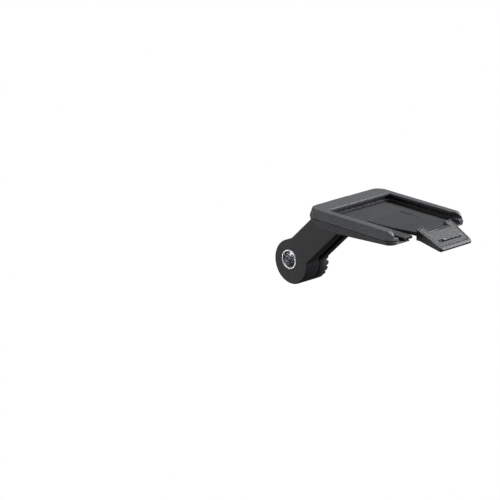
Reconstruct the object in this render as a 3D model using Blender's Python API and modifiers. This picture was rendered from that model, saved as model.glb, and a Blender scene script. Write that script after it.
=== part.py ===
"""Out-front dock for a cycling computer: a slide-in cradle with a spring latch, on a toothed pivot arm.

The constants are in millimetres and degrees, the scene is in metres. +X is the riding direction, in
which the computer slides out of the cradle. +Y is the rider's left and +Z is up. The origin is on the
axis on which the arm pivots.
"""

import math

import bmesh
import bpy
from mathutils import Vector

MM = 0.001
COLLECTION = "cycling_computer_dock"

# The cradle has its own frame: x runs forward from the back wall, and z = 0 is the top of the rim.
DOCK = (19.2, 0.0, 24.34)
HALF_WIDTH = 15.72
RIM_BACK = 6.5
LIP_EDGE = 13.5
GROOVE_EDGE = 14.6
GROOVE_BACK = 5.6
GROOVE_TOP = -0.75
GROOVE_FLOOR = -1.9
RAIL_FRONT = 36.4
RAIL_END_RADIUS = 3.1
BACK_CORNER = 3.4
FRONT_CORNER = 2.4
FRAME_BOTTOM = -2.7

# The side walls flare from the rim down to a crease, and taper in again below it.
FLARE = 1.25
CREASE_Z = -2.29
TAPER = 0.2
CORNER_SHARE = 0.6

# Underside of the cradle, a wedge that is thickest at its back.
SHELL_TOP = -3.0
SHELL_FRONT = 36.3
GUTTER_FLOOR = -3.45
HEEL_LOW = (4.88, -6.2)
NOSE_LOW_Z = -3.95
SHELL_WALL = 1.0
HEEL_WALL = 1.5
CAVITY_HALF = 10.6
CAVITY_FRONT = 34.6
WINDOW_HALF = 8.7
WINDOW_BACK = 23.0
SCREW_POCKET = ((2.6, -4.6, -5.0), (5.2, 4.6, -1.2))

# Floor of the cradle, with the opening in which the tongue flexes.
FLOOR_TOP = -2.29
FLOOR_UNDER = -3.15
FLOOR_HALF = 11.3
FLOOR_BACK = 7.3
FLOOR_FRONT = 36.5
TONGUE_ROOT = 17.2
TONGUE_HALF = 7.12
SLOT = 0.5
SEAM = 0.3
TONGUE_TOP_LINE = ((17.2, -2.29), (22.0, -2.25), (27.0, -2.05), (31.0, -1.72), (36.0, -1.25), (39.6, -0.95))
TONGUE_UNDER_LINE = ((39.6, -2.30), (36.0, -2.40), (31.0, -2.75), (22.0, -3.15), (17.2, -3.15))

# Release tab at the front of the tongue. Its top slopes down towards the front.
TAB_BACK = 38.0
TAB_TOP_Z = 0.1
TAB_SLOPE = 23.5
TAB_HALF_BACK = 7.6
TAB_HALF_FRONT = 6.8
TAB_TIP = 48.4
TAB_CORNER = 1.9
TAB_PROFILE = (
    (38.0, 0.1, 0.2),
    (47.3, -3.94, 0.5),
    (48.4, -4.6, 0.4),
    (47.3, -5.25, 0.6),
    (43.5, -4.42, 0.0),
    (39.4, -3.52, 0.0),
    (38.0, -3.5, 0.3),
)
CATCH_GAP_HALF = 4.6
CATCH_GAP_FRONT = 40.2
PLATE_THICKNESS = 0.6
PLATE_EDGE = 0.45
PLATE_SEAM = 0.2
PLATE_BACK = 0.5
PLATE_FRONT = 9.6
RIDGE_AT = 7.4
RIDGE_WIDTH = 0.8
RIDGE_SPAN = (-3.3, 4.7)
RIDGE_LOW = -0.55
RIDGE_HIGH = 0.4
RIB_COUNT = 9
RIB_NOTCH = 0.32
PIT_RADIUS = 0.5
PIT_Y = -4.35

# Arm: u runs up the arm from the pivot, and w is square to it, up and back.
ARM_RISE = 44.5
ARM_TOP = 4.75
ARM_UNDER = -5.25
ARM_HALF = 4.45
ARM_END = 29.4
BARREL_RADIUS = 7.3
BARREL_DROP = -1.0
BODY_FAR = 1.35
CHEEK_NEAR = 1.65
CHEEK_BARREL_FAR = 3.15
CHEEK_END = 24.1
HEAD_START = 24.4
CHANNEL_NEAR = -1.15
CHANNEL_FAR = 1.65
CHANNEL_TOP = -2.75
RING_NEAR = 3.45
TOOTH_ROOT = 4.3
RING_FAR = 5.35
TOOTH_COUNT = 24
BORE_RADIUS = 3.4
SLEEVE_OUTER = 3.3
SLEEVE_INNER = 2.6
SLEEVE_NEAR = -4.65
SLEEVE_FAR = 5.55

# Fasteners. A profile is (radius, height) pairs along the axis of the screw or insert.
CHEEK_SCREW_U = (11.5, 19.5)
CHEEK_SCREW_W = 1.2
CHEEK_SCREW_PROFILE = ((0.0, -2.4), (0.8, -2.4), (0.8, 3.3), (1.5, 3.3), (1.5, 4.2), (0.0, 4.2))
DOCK_SCREW_Y = 2.6
DOCK_SCREW_W = -1.2
INSERT_OUTER = 1.3
INSERT_INNER = 0.95
INSERT_SPAN = (25.2, 29.0)
DOCK_SCREW_PROFILE = ((0.0, 25.6), (0.75, 25.6), (0.75, 31.5), (1.4, 31.5), (1.4, 32.4), (0.0, 32.4))
SHELL_SCREW_X = (10.0, 20.0)
SHELL_SCREW_Y = 9.0
BOSS_LOW = (-4.6, -3.95)
BOSS_RADIUS = 1.3
SINK_DEPTH = 0.4


def clear_scene():
    """Removes every object that the start-up scene brings."""
    for found in list(bpy.data.objects):
        bpy.data.objects.remove(found, do_unlink=True)


def new_collection(name, visible=True):
    """Makes a collection in the scene."""
    made = bpy.data.collections.new(name)
    made.hide_render = not visible
    bpy.context.scene.collection.children.link(made)
    return made


def finish(name, colour, roughness, metallic=0.0):
    """Makes a Principled BSDF material."""
    made = bpy.data.materials.new(name)
    made.use_nodes = True
    shader = made.node_tree.nodes["Principled BSDF"]
    shader.inputs["Base Color"].default_value = (*colour, 1.0)
    shader.inputs["Roughness"].default_value = roughness
    shader.inputs["Metallic"].default_value = metallic
    made.diffuse_color = (*colour, 1.0)
    return made


def arc(centre, radius, start, end, steps):
    """Points on an arc from start to end, both in degrees and both included."""
    points = []
    for step in range(steps + 1):
        angle = math.radians(start + (end - start) * step / steps)
        points.append((centre[0] + radius * math.cos(angle), centre[1] + radius * math.sin(angle)))
    return points


def rounded(corners, steps=5):
    """Rounds the corners of a closed outline. Each corner is (first, second, radius)."""
    points = []
    for index, (first, second, radius) in enumerate(corners):
        corner = Vector((first, second))
        if radius <= 0.0:
            points.append((first, second))
            continue
        before = (Vector(corners[index - 1][:2]) - corner).normalized()
        after = (Vector(corners[(index + 1) % len(corners)][:2]) - corner).normalized()
        half_angle = before.angle(after) / 2
        reach = radius / math.tan(half_angle)
        centre = corner + (before + after).normalized() * (radius / math.sin(half_angle))
        start = corner + before * reach - centre
        end = corner + after * reach - centre
        for step in range(steps + 1):
            spoke = start.lerp(end, step / steps).normalized() * radius
            points.append((centre.x + spoke.x, centre.y + spoke.y))
    return points


def extruded(points, offset):
    """A bmesh prism from a loop of 3-D points, moved by an offset."""
    made = bmesh.new()
    face = made.faces.new([made.verts.new(point) for point in points])
    grown = bmesh.ops.extrude_face_region(made, geom=[face])
    moved = [item for item in grown["geom"] if isinstance(item, bmesh.types.BMVert)]
    bmesh.ops.translate(made, verts=moved, vec=offset)
    return made


def side_prism(outline, near, far):
    """A prism from an outline in x and z, between two values of y."""
    return extruded([(x, near, z) for x, z in outline], (0.0, far - near, 0.0))


def plan_prism(outline, low, high):
    """A prism from an outline in x and y, between two values of z."""
    return extruded([(x, y, low) for x, y in outline], (0.0, 0.0, high - low))


def box(low, high):
    """A box between two corners."""
    outline = [(low[0], low[1]), (high[0], low[1]), (high[0], high[1]), (low[0], high[1])]
    return plan_prism(outline, low[2], high[2])


def rod(radius, near, far, centre=(0.0, 0.0), segments=36):
    """A cylinder along y, round a centre in x and z."""
    return side_prism(arc(centre, radius, 0.0, 360.0, segments)[:-1], near, far)


def turned(profile, segments=24):
    """A solid turned about z, from a profile of radius and height that starts and ends on the axis."""
    made = bmesh.new()
    points = [made.verts.new((radius, 0.0, height)) for radius, height in profile]
    edges = [made.edges.new(pair) for pair in zip(points, points[1:])]
    bmesh.ops.spin(
        made,
        geom=points + edges,
        cent=(0.0, 0.0, 0.0),
        axis=(0.0, 0.0, 1.0),
        angle=2 * math.pi,
        steps=segments,
        use_merge=True,
    )
    bmesh.ops.remove_doubles(made, verts=made.verts, dist=1e-5)
    return made


class Builder:
    """Places parts and cutters, and joins or cuts them."""

    def __init__(self):
        clear_scene()
        self.parts = new_collection(COLLECTION)
        self.cutters = new_collection("cutters", visible=False)
        self.pivot = self.empty("arm_pivot_axis", (0.0, 0.0, 0.0), None)
        root = (DOCK[0] + TONGUE_ROOT, 0.0, DOCK[2] + FLOOR_TOP)
        self.flexure = self.empty("latch_flex_axis", root, self.pivot)
        self.count = 0

    def empty(self, name, place, parent):
        """Adds an empty that carries the parts of one moving body."""
        made = bpy.data.objects.new(name, None)
        made.location = Vector(place) * MM
        made.parent = parent
        self.parts.objects.link(made)
        return made

    def place(self, name, source, collection, place, turn):
        """Turns a bmesh in millimetres into an object at a place, turned by Euler degrees."""
        for vertex in source.verts:
            vertex.co *= MM
        bmesh.ops.recalc_face_normals(source, faces=source.faces)
        mesh = bpy.data.meshes.new(name)
        source.to_mesh(mesh)
        source.free()
        made = bpy.data.objects.new(name, mesh)
        made.location = Vector(place) * MM
        made.rotation_euler = [math.radians(angle) for angle in turn]
        collection.objects.link(made)
        return made

    def part(self, name, source, material, place=(0, 0, 0), turn=(0, 0, 0), carrier=None):
        """Adds one named sub-part with its material, carried by an empty."""
        carrier = carrier or self.pivot
        made = self.place(name, source, self.parts, place, turn)
        made.location -= self.origin_of(carrier)
        made.parent = carrier
        made.data.materials.append(material)
        return made

    def origin_of(self, carrier):
        """World position of an empty, from its own location and those above it."""
        total = Vector((0.0, 0.0, 0.0))
        while carrier:
            total += carrier.location
            carrier = carrier.parent
        return total

    def combine(self, target, operation, source, place=(0, 0, 0), turn=(0, 0, 0)):
        """Cuts, joins or intersects a target with a helper solid that stays out of the render."""
        self.count += 1
        helper = self.place(f"cutter_{self.count:02d}", source, self.cutters, place, turn)
        helper.hide_render = True
        helper.display_type = "WIRE"
        step = target.modifiers.new(helper.name, "BOOLEAN")
        step.operation = operation
        step.solver = "EXACT"
        step.object = helper
        return helper

    def cut(self, target, source, place=(0, 0, 0), turn=(0, 0, 0)):
        """Removes a helper solid from a target."""
        self.combine(target, "DIFFERENCE", source, place, turn)

    def join(self, target, source, place=(0, 0, 0), turn=(0, 0, 0)):
        """Adds a helper solid to a target."""
        self.combine(target, "UNION", source, place, turn)


def soften(target, width, segments=2, angle=40.0):
    """Rounds the sharp edges of a target."""
    step = target.modifiers.new("edge_rounding", "BEVEL")
    step.width = width * MM
    step.segments = segments
    step.limit_method = "ANGLE"
    step.angle_limit = math.radians(angle)


def dock_plan(front, grow=0.0):
    """Plan outline of the cradle with its rounded corners, grown sideways by a distance."""
    half = HALF_WIDTH + grow
    corner = FRONT_CORNER + grow * CORNER_SHARE
    return rounded(
        [
            (0.0, -half, BACK_CORNER),
            (front, -half, corner),
            (front, half, corner),
            (0.0, half, BACK_CORNER),
        ]
    )


def dock_loft(front, levels):
    """A closed form through plan outlines of the cradle. Each level is (height, growth)."""
    made = bmesh.new()
    rings = []
    for height, grow in levels:
        rings.append([made.verts.new((x, y, height)) for x, y in dock_plan(front, grow)])
    made.faces.new(rings[0])
    made.faces.new(rings[-1])
    for low, high in zip(rings, rings[1:]):
        for index in range(len(low)):
            after = (index + 1) % len(low)
            made.faces.new((low[index], low[after], high[after], high[index]))
    return made


def shell_growth(height):
    """How far the side wall of the shell stands outside the rim at a height."""
    return FLARE + TAPER * (height - FRAME_BOTTOM)


def open_plan(back, half, radius):
    """Plan outline of a pocket that is open at the front."""
    return rounded([(back, -half, radius), (60.0, -half, 0), (60.0, half, 0), (back, half, radius)])


def heel_x(z, inward=0.0):
    """The x of the sloping heel at a height, moved into the solid by a distance square to the slope."""
    rise = math.radians(ARM_RISE)
    return 0.46 + (-1.91 - z) * math.tan(rise) + inward / math.cos(rise)


def arm_point(along, across, square):
    """World position of a point given up the arm, to its left and square to it."""
    rise = math.radians(ARM_RISE)
    x = along * math.cos(rise) - square * math.sin(rise)
    z = along * math.sin(rise) + square * math.cos(rise)
    return (x, across, z)


def along_arm(across, square):
    """Place and turn that lay the axis of a turned solid along the arm."""
    return arm_point(0.0, across, square), (0.0, 90.0 - ARM_RISE, 0.0)


def across_arm(along, square):
    """Place and turn that lay the axis of a turned solid across the arm."""
    return arm_point(along, 0.0, square), (-90.0, 0.0, 0.0)


def shell_under(x):
    """Height of the underside of the shell at x, in the frame of the cradle."""
    share = (x - HEEL_LOW[0]) / (SHELL_FRONT - HEEL_LOW[0])
    return HEEL_LOW[1] + (NOSE_LOW_Z - HEEL_LOW[1]) * share


def build_frame(made):
    """U-shaped rim: a thick back wall and two side rails, with lips over a groove."""
    material = finish("cradle_textured_plastic", (0.045, 0.048, 0.055), 0.62)
    levels = ((FRAME_BOTTOM, FLARE), (CREASE_Z, FLARE), (0.0, 0.0))
    frame = made.part("cradle_frame", dock_loft(RAIL_FRONT, levels), material, DOCK)
    made.cut(frame, plan_prism(open_plan(RIM_BACK, LIP_EDGE, 0.9), FRAME_BOTTOM - 1, 1.0), DOCK)
    made.cut(frame, plan_prism(open_plan(GROOVE_BACK, GROOVE_EDGE, 1.2), GROOVE_FLOOR, GROOVE_TOP), DOCK)
    end = RAIL_FRONT - RAIL_END_RADIUS
    curve = arc((end, -RAIL_END_RADIUS), RAIL_END_RADIUS, 90.0, 0.0, 8)
    outside = [*curve, (RAIL_FRONT + 2, -RAIL_END_RADIUS), (RAIL_FRONT + 2, 2.0), (end, 2.0)]
    made.cut(frame, side_prism(outside, -20.0, 20.0), DOCK)
    below_heel = [(heel_x(2.0), 2.0), (heel_x(-8.0), -8.0), (-9.0, -8.0), (-9.0, 2.0)]
    made.cut(frame, side_prism(below_heel, -20.0, 20.0), DOCK)
    made.cut(frame, box(*SCREW_POCKET), DOCK)
    soften(frame, 0.25)


def build_shell(made):
    """Wedge-shaped underside, with a sloping heel for the arm and a window under the tongue."""
    material = finish("shell_plastic", (0.040, 0.043, 0.050), 0.60)
    profile = [
        (heel_x(SHELL_TOP), SHELL_TOP, 0.0),
        (SHELL_FRONT, SHELL_TOP, 0.0),
        (SHELL_FRONT, NOSE_LOW_Z, 0.4),
        (*HEEL_LOW, 1.0),
    ]
    shell = made.part("base_shell", side_prism(rounded(profile), -20.0, 20.0), material, DOCK)
    levels = [(height, shell_growth(height)) for height in (-10.0, 1.0)]
    made.combine(shell, "INTERSECT", dock_loft(SHELL_FRONT, levels), DOCK)
    gutter = [(RIM_BACK, -LIP_EDGE), (60.0, -LIP_EDGE), (60.0, LIP_EDGE), (RIM_BACK, LIP_EDGE)]
    made.cut(shell, plan_prism(gutter, GUTTER_FLOOR, 0.0), DOCK)
    cavity_low = HEEL_LOW[1] + SHELL_WALL
    cavity = [
        (heel_x(-2.0, HEEL_WALL), -2.0),
        (heel_x(cavity_low, HEEL_WALL), cavity_low),
        (CAVITY_FRONT, shell_under(CAVITY_FRONT) + SHELL_WALL * 0.65),
        (CAVITY_FRONT, -2.0),
    ]
    made.cut(shell, side_prism(cavity, -CAVITY_HALF, CAVITY_HALF), DOCK)
    made.cut(shell, box((WINDOW_BACK, -WINDOW_HALF, -9.0), (60.0, WINDOW_HALF, 1.0)), DOCK)
    for side in (-1, 1):
        hole = ((0.0, 27.0), (1.0, 27.0), (1.0, 35.0), (0.0, 35.0))
        made.cut(shell, turned(hole), *along_arm(side * DOCK_SCREW_Y, DOCK_SCREW_W))
        for x in SHELL_SCREW_X:
            sunk = shell_under(x) + SINK_DEPTH
            sink = ((0, -9), (1.6, -9), (1.6, sunk), (0.8, sunk), (0.8, 0), (0, 0))
            made.cut(shell, turned(sink), (DOCK[0] + x, side * SHELL_SCREW_Y, DOCK[2]))
    soften(shell, 0.2)


def build_floor(made):
    """Floor plate of the cradle, with the opening for the tongue and four screw bosses below."""
    material = finish("floor_plastic", (0.050, 0.053, 0.060), 0.66)
    outline = [
        (FLOOR_BACK, -FLOOR_HALF, 0.6),
        (FLOOR_FRONT, -FLOOR_HALF, 0.3),
        (FLOOR_FRONT, FLOOR_HALF, 0.3),
        (FLOOR_BACK, FLOOR_HALF, 0.6),
    ]
    floor = made.part("floor_plate", plan_prism(rounded(outline), FLOOR_UNDER, FLOOR_TOP), material, DOCK)
    opening = open_plan(TONGUE_ROOT - SEAM, TONGUE_HALF + SLOT, 0.3)
    made.cut(floor, plan_prism(opening, -9.0, 1.0), DOCK)
    for side in (-1, 1):
        for x, boss_low in zip(SHELL_SCREW_X, BOSS_LOW):
            place = (DOCK[0] + x, side * SHELL_SCREW_Y, DOCK[2])
            boss = ((0, boss_low), (BOSS_RADIUS, boss_low), (BOSS_RADIUS, -2.8), (0, -2.8))
            made.join(floor, turned(boss), place)
            hole = ((0, -9), (0.8, -9), (0.8, -2.7), (0, -2.7))
            made.cut(floor, turned(hole), place)


def build_shell_screws(made):
    """Four short screws that hold the floor plate on the shell, from below."""
    material = finish("black_oxide_steel", (0.10, 0.10, 0.11), 0.42, 1.0)
    for end, x in zip(("back", "front"), SHELL_SCREW_X):
        head_low = shell_under(x) + 0.08
        head_top = shell_under(x) + SINK_DEPTH - 0.1
        profile = ((0, head_low), (1.35, head_low), (1.35, head_top), (0.6, head_top), (0.6, -2.95), (0, -2.95))
        for label, side in (("right", -1), ("left", 1)):
            place = (DOCK[0] + x, side * SHELL_SCREW_Y, DOCK[2])
            made.part(f"shell_screw_{end}_{label}", turned(profile), material, place)


def tab_plan(inset):
    """Plan outline of the tab, tapered and rounded at the front."""
    return rounded(
        [
            (TAB_BACK + inset, -TAB_HALF_BACK + inset, 0.3),
            (TAB_TIP - inset, -TAB_HALF_FRONT + inset, TAB_CORNER),
            (TAB_TIP - inset, TAB_HALF_FRONT - inset, TAB_CORNER),
            (TAB_BACK + inset, TAB_HALF_BACK - inset, 0.3),
        ]
    )


def plate_plan(grow):
    """Outline of the thumb plate in the plane of the tab, notched between the catch shoulders."""
    back = PLATE_BACK - grow
    front = PLATE_FRONT + grow
    half_back = TAB_HALF_BACK - PLATE_EDGE - PLATE_SEAM + grow
    half_front = TAB_HALF_FRONT - PLATE_EDGE - PLATE_SEAM + grow
    notch_half = CATCH_GAP_HALF + PLATE_EDGE - grow
    notch_front = (CATCH_GAP_FRONT - TAB_BACK) / math.cos(math.radians(TAB_SLOPE)) + PLATE_EDGE - grow
    return rounded(
        [
            (back, -half_back, 0.2),
            (front, -half_front, 1.3),
            (front, half_front, 1.3),
            (back, half_back, 0.2),
            (back, notch_half, 0.2),
            (notch_front, notch_half, 0.2),
            (notch_front, -notch_half, 0.2),
            (back, -notch_half, 0.2),
        ],
        steps=4,
    )


def on_tab():
    """Place and turn of the frame in the plane of the tab: x runs down the slope, z is square to it."""
    return (DOCK[0] + TAB_BACK, 0.0, DOCK[2] + TAB_TOP_Z), (0.0, TAB_SLOPE, 0.0)


def build_latch(made):
    """Spring tongue that ends in a wedge, with two catch shoulders and a pocket for the thumb plate."""
    material = finish("latch_plastic", (0.060, 0.064, 0.074), 0.58)
    tongue = side_prism([*TONGUE_TOP_LINE, *TONGUE_UNDER_LINE], -TONGUE_HALF, TONGUE_HALF)
    latch = made.part("latch_tongue", tongue, material, DOCK, carrier=made.flexure)
    wedge = made.combine(latch, "UNION", side_prism(rounded(TAB_PROFILE), -12.0, 12.0), DOCK)
    made.combine(wedge, "INTERSECT", plan_prism(tab_plan(0.0), -12.0, 6.0), DOCK)
    gap = [(36.9, -1.18), (36.9, 3.0), (CATCH_GAP_FRONT, 3.0), (CATCH_GAP_FRONT, -0.88)]
    made.cut(latch, side_prism(gap, -CATCH_GAP_HALF, CATCH_GAP_HALF), DOCK)
    made.cut(latch, plan_prism(plate_plan(PLATE_SEAM), -PLATE_THICKNESS - SEAM, 3.0), *on_tab())


def ridge_box(clearance):
    """Box of the ridge in the plane of the tab, grown sideways by a clearance."""
    half = RIDGE_WIDTH / 2 + clearance
    low = (RIDGE_AT - half, RIDGE_SPAN[0] - clearance, RIDGE_LOW)
    high = (RIDGE_AT + half, RIDGE_SPAN[1] + clearance, RIDGE_HIGH)
    return low, high


def build_thumb_plate(made):
    """Thin plate let into the top of the tab, with a slot for the ridge and a small round pit."""
    material = finish("thumb_plate_plastic", (0.070, 0.075, 0.088), 0.60)
    solid = plan_prism(plate_plan(0.0), -PLATE_THICKNESS, 0.0)
    plate = made.part("thumb_plate", solid, material, *on_tab(), carrier=made.flexure)
    low, high = ridge_box(0.12)
    made.cut(plate, box((low[0], low[1], -2.0), (high[0], high[1], 2.0)), *on_tab())
    pit = ((0, -2), (PIT_RADIUS, -2), (PIT_RADIUS, 2), (0, 2))
    place = (RIDGE_AT, PIT_Y, 0.0)
    made.cut(plate, shifted(turned(pit, 16), place), *on_tab())


def shifted(source, offset):
    """Moves a bmesh by an offset in millimetres."""
    bmesh.ops.translate(source, verts=source.verts, vec=offset)
    return source


def build_ridge(made):
    """Grip ridge across the thumb plate, notched into ribs."""
    material = finish("ridge_plastic", (0.110, 0.115, 0.125), 0.45)
    low, high = ridge_box(0.0)
    pitch = (high[1] - low[1] - RIB_NOTCH) / RIB_COUNT
    floor = RIDGE_HIGH - 0.22
    outline = [(low[1], low[2]), (high[1], low[2]), (high[1], high[2])]
    for index in reversed(range(1, RIB_COUNT)):
        notch = low[1] + pitch * index
        outline += [(notch + RIB_NOTCH, high[2]), (notch + RIB_NOTCH, floor), (notch, floor), (notch, high[2])]
    outline.append((low[1], high[2]))
    source = extruded([(low[0], y, z) for y, z in outline], (RIDGE_WIDTH, 0.0, 0.0))
    made.part("grip_ridge", source, material, *on_tab(), carrier=made.flexure)


def arm_outline(end):
    """Outline of the arm in u and w: the round barrel, then a straight bar to the given end points."""
    low = math.degrees(math.asin((ARM_UNDER - BARREL_DROP) / BARREL_RADIUS))
    high = math.degrees(math.asin((ARM_TOP - BARREL_DROP) / BARREL_RADIUS)) - 360.0
    return [*arc((0.0, BARREL_DROP), BARREL_RADIUS, low, high, 30), *end]


ARM_TURN = ((0, 0, 0), (0.0, -ARM_RISE, 0.0))
HEAD_END = ((29.3, ARM_TOP), (29.95, 3.5), (ARM_END, 2.75), (ARM_END, ARM_UNDER))


def build_arm(made):
    """Near half of the arm: barrel, bar with its lengthwise channel, and the head that meets the cradle."""
    material = finish("arm_plastic", (0.030, 0.032, 0.037), 0.50)
    solid = side_prism(arm_outline(HEAD_END), -ARM_HALF, BODY_FAR)
    arm = made.part("arm_body", solid, material, *ARM_TURN)
    head = [*HEAD_END, (HEAD_START, ARM_UNDER), (HEAD_START, ARM_TOP)]
    made.join(arm, side_prism(head, BODY_FAR - 0.4, ARM_HALF), *ARM_TURN)
    low = math.degrees(math.asin((ARM_UNDER - BARREL_DROP) / BARREL_RADIUS))
    high = math.degrees(math.asin((CHANNEL_TOP - BARREL_DROP) / BARREL_RADIUS))
    end = arc((0.0, BARREL_DROP), BARREL_RADIUS + 0.02, low - 4.0, high, 6)
    channel = [*end, (ARM_END + 3, CHANNEL_TOP), (ARM_END + 3, -9.0), (end[0][0], -9.0)]
    made.cut(arm, side_prism(channel, CHANNEL_NEAR, CHANNEL_FAR), *ARM_TURN)
    made.cut(arm, rod(BORE_RADIUS, -20.0, 20.0), *ARM_TURN)
    for side in (-1, 1):
        bore = ((0, 24.9), (1.42, 24.9), (1.42, 40), (0, 40))
        made.cut(arm, turned(bore), *along_arm(side * DOCK_SCREW_Y, DOCK_SCREW_W))
    for along in CHEEK_SCREW_U:
        hole = ((0, -2.7), (0.95, -2.7), (0.95, 9), (0, 9))
        made.cut(arm, turned(hole), *across_arm(along, CHEEK_SCREW_W))
    soften(arm, 0.25)


def build_cheek(made):
    """Far half of the arm, screwed to the near half, recessed round the pivot for the toothed ring."""
    material = finish("cheek_plastic", (0.026, 0.028, 0.032), 0.42)
    end = ((CHEEK_END, ARM_TOP), (CHEEK_END, ARM_UNDER))
    cheek = made.part("arm_cheek", side_prism(arm_outline(end), CHEEK_NEAR, ARM_HALF), material, *ARM_TURN)
    seat = rod(BARREL_RADIUS + SEAM, CHEEK_BARREL_FAR, 20.0, (0.0, BARREL_DROP), 60)
    made.cut(cheek, seat, *ARM_TURN)
    made.cut(cheek, rod(BORE_RADIUS, -20.0, 20.0), *ARM_TURN)
    for along in CHEEK_SCREW_U:
        hole = ((0, -9), (0.95, -9), (0.95, 3.15), (1.7, 3.15), (1.7, 9), (0, 9))
        made.cut(cheek, turned(hole), *across_arm(along, CHEEK_SCREW_W))
    soften(cheek, 0.2)


def build_tooth_ring(made):
    """Ring with radial face teeth that lock the angle of the arm."""
    material = finish("ring_plastic", (0.060, 0.064, 0.070), 0.35)
    outline = arc((0.0, BARREL_DROP), BARREL_RADIUS, 0.0, 360.0, 60)[:-1]
    ring = made.part("tooth_ring", side_prism(outline, RING_NEAR, RING_FAR), material, *ARM_TURN)
    made.cut(ring, rod(BORE_RADIUS, -20.0, 20.0), *ARM_TURN)
    grooves = bmesh.new()
    half_pitch = math.tan(math.radians(90.0 / TOOTH_COUNT))
    for index in range(TOOTH_COUNT):
        angle = 2 * math.pi * index / TOOTH_COUNT
        add_groove(grooves, angle, half_pitch)
    made.cut(ring, grooves, *ARM_TURN)


def add_groove(target, angle, half_pitch):
    """Adds one flared radial groove, between the bore and beyond the rim, to a bmesh of cutters."""
    spoke = Vector((math.cos(angle), 0.0, math.sin(angle)))
    square = Vector((-math.sin(angle), 0.0, math.cos(angle)))
    ends = []
    for radius in (2.2, 9.5):
        centre = spoke * radius
        half = radius * half_pitch * 1.08
        left = centre + square * half + Vector((0.0, RING_FAR + 0.08, 0.0))
        right = centre - square * half + Vector((0.0, RING_FAR + 0.08, 0.0))
        root = centre + Vector((0.0, TOOTH_ROOT, 0.0))
        ends.append([target.verts.new(point) for point in (left, right, root)])
    first, last = ends
    target.faces.new(first)
    target.faces.new(last)
    for index in range(3):
        after = (index + 1) % 3
        target.faces.new((first[index], first[after], last[after], last[index]))


def build_fasteners(made):
    """Screws of the cheek, and the screws and inserts that hold the cradle on the arm."""
    steel = finish("zinc_plated_steel", (0.56, 0.57, 0.60), 0.34, 1.0)
    brass = finish("insert_brass", (0.72, 0.55, 0.28), 0.36, 1.0)
    for label, along in zip(("low", "high"), CHEEK_SCREW_U):
        place, turn = across_arm(along, CHEEK_SCREW_W)
        made.part(f"cheek_screw_{label}", turned(CHEEK_SCREW_PROFILE), steel, place, turn)
    near, far = INSERT_SPAN
    tube = ((INSERT_INNER, near), (INSERT_OUTER, near), (INSERT_OUTER, far), (INSERT_INNER, far), (INSERT_INNER, near))
    for label, side in (("right", -1), ("left", 1)):
        place, turn = along_arm(side * DOCK_SCREW_Y, DOCK_SCREW_W)
        made.part(f"dock_insert_{label}", turned(tube), brass, place, turn)
        made.part(f"dock_screw_{label}", turned(DOCK_SCREW_PROFILE), steel, place, turn)


def build_sleeve(made):
    """Steel sleeve through the barrel, clamped between the two lugs of the stem bracket."""
    material = finish("sleeve_steel", (0.50, 0.51, 0.53), 0.38, 1.0)
    sleeve = made.part("pivot_sleeve", rod(SLEEVE_OUTER, SLEEVE_NEAR, SLEEVE_FAR), material)
    made.cut(sleeve, rod(SLEEVE_INNER, -20.0, 20.0))


def main():
    """Builds every sub-part of the dock."""
    made = Builder()
    build_sleeve(made)
    build_arm(made)
    build_cheek(made)
    build_tooth_ring(made)
    build_fasteners(made)
    build_shell(made)
    build_frame(made)
    build_floor(made)
    build_shell_screws(made)
    build_latch(made)
    build_thumb_plate(made)
    build_ridge(made)


main()
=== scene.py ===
"""Looks of an out-front dock for a cycling computer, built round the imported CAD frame.

Sizes are in millimetres and degrees until a piece is delivered, in metres, in the frame of the CAD model:
+X is the riding direction, +Y the rider's left, +Z up, and the origin lies on the pivot axis of the arm.
"""

import logging
import math
from dataclasses import dataclass
from enum import Enum
from typing import Any, Sequence

import bmesh
import bpy
from mathutils import Matrix, Vector


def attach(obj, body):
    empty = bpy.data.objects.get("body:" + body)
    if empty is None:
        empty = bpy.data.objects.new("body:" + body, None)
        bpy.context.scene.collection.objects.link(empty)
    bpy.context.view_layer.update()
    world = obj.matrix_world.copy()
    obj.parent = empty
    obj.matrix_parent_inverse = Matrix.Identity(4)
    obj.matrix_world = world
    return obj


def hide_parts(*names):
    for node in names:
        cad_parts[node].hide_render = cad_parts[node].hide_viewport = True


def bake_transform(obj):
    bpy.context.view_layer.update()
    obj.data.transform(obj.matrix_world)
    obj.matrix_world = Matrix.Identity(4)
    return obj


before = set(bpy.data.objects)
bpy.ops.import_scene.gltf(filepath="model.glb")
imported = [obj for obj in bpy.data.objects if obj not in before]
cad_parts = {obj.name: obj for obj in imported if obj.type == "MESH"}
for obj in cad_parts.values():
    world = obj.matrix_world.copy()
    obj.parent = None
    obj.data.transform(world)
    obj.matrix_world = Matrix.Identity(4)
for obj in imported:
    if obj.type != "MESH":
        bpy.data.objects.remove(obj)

LOG = logging.getLogger("dock")
MM = 0.001
ARM_RISE = 44.5
RISE = math.radians(ARM_RISE)
DOCK_PLACE = (19.2, 0.0, 24.34)
SIDES = (("right", -1), ("left", 1))

# A cutter runs this far past the dock, or this far above a face. A hair keeps faces from coinciding.
PAST = 60.0
ABOVE = 1.0
HAIR = 0.05

Corner = tuple[float, float, float]
Point = tuple[float, float, float]
Colour = tuple[float, float, float]
Form = bmesh.types.BMesh


class Body(Enum):
    """The moving bodies of the dock."""

    PIVOT = "pivot"
    ARM = "arm"
    LATCH = "latch"


class Axis(Enum):
    """The direction in which an outline is extruded."""

    ACROSS = "y"
    UP = "z"


class Step(Enum):
    """How a second form works on a blank."""

    CUT = "DIFFERENCE"
    JOIN = "UNION"
    KEEP = "INTERSECT"


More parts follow.
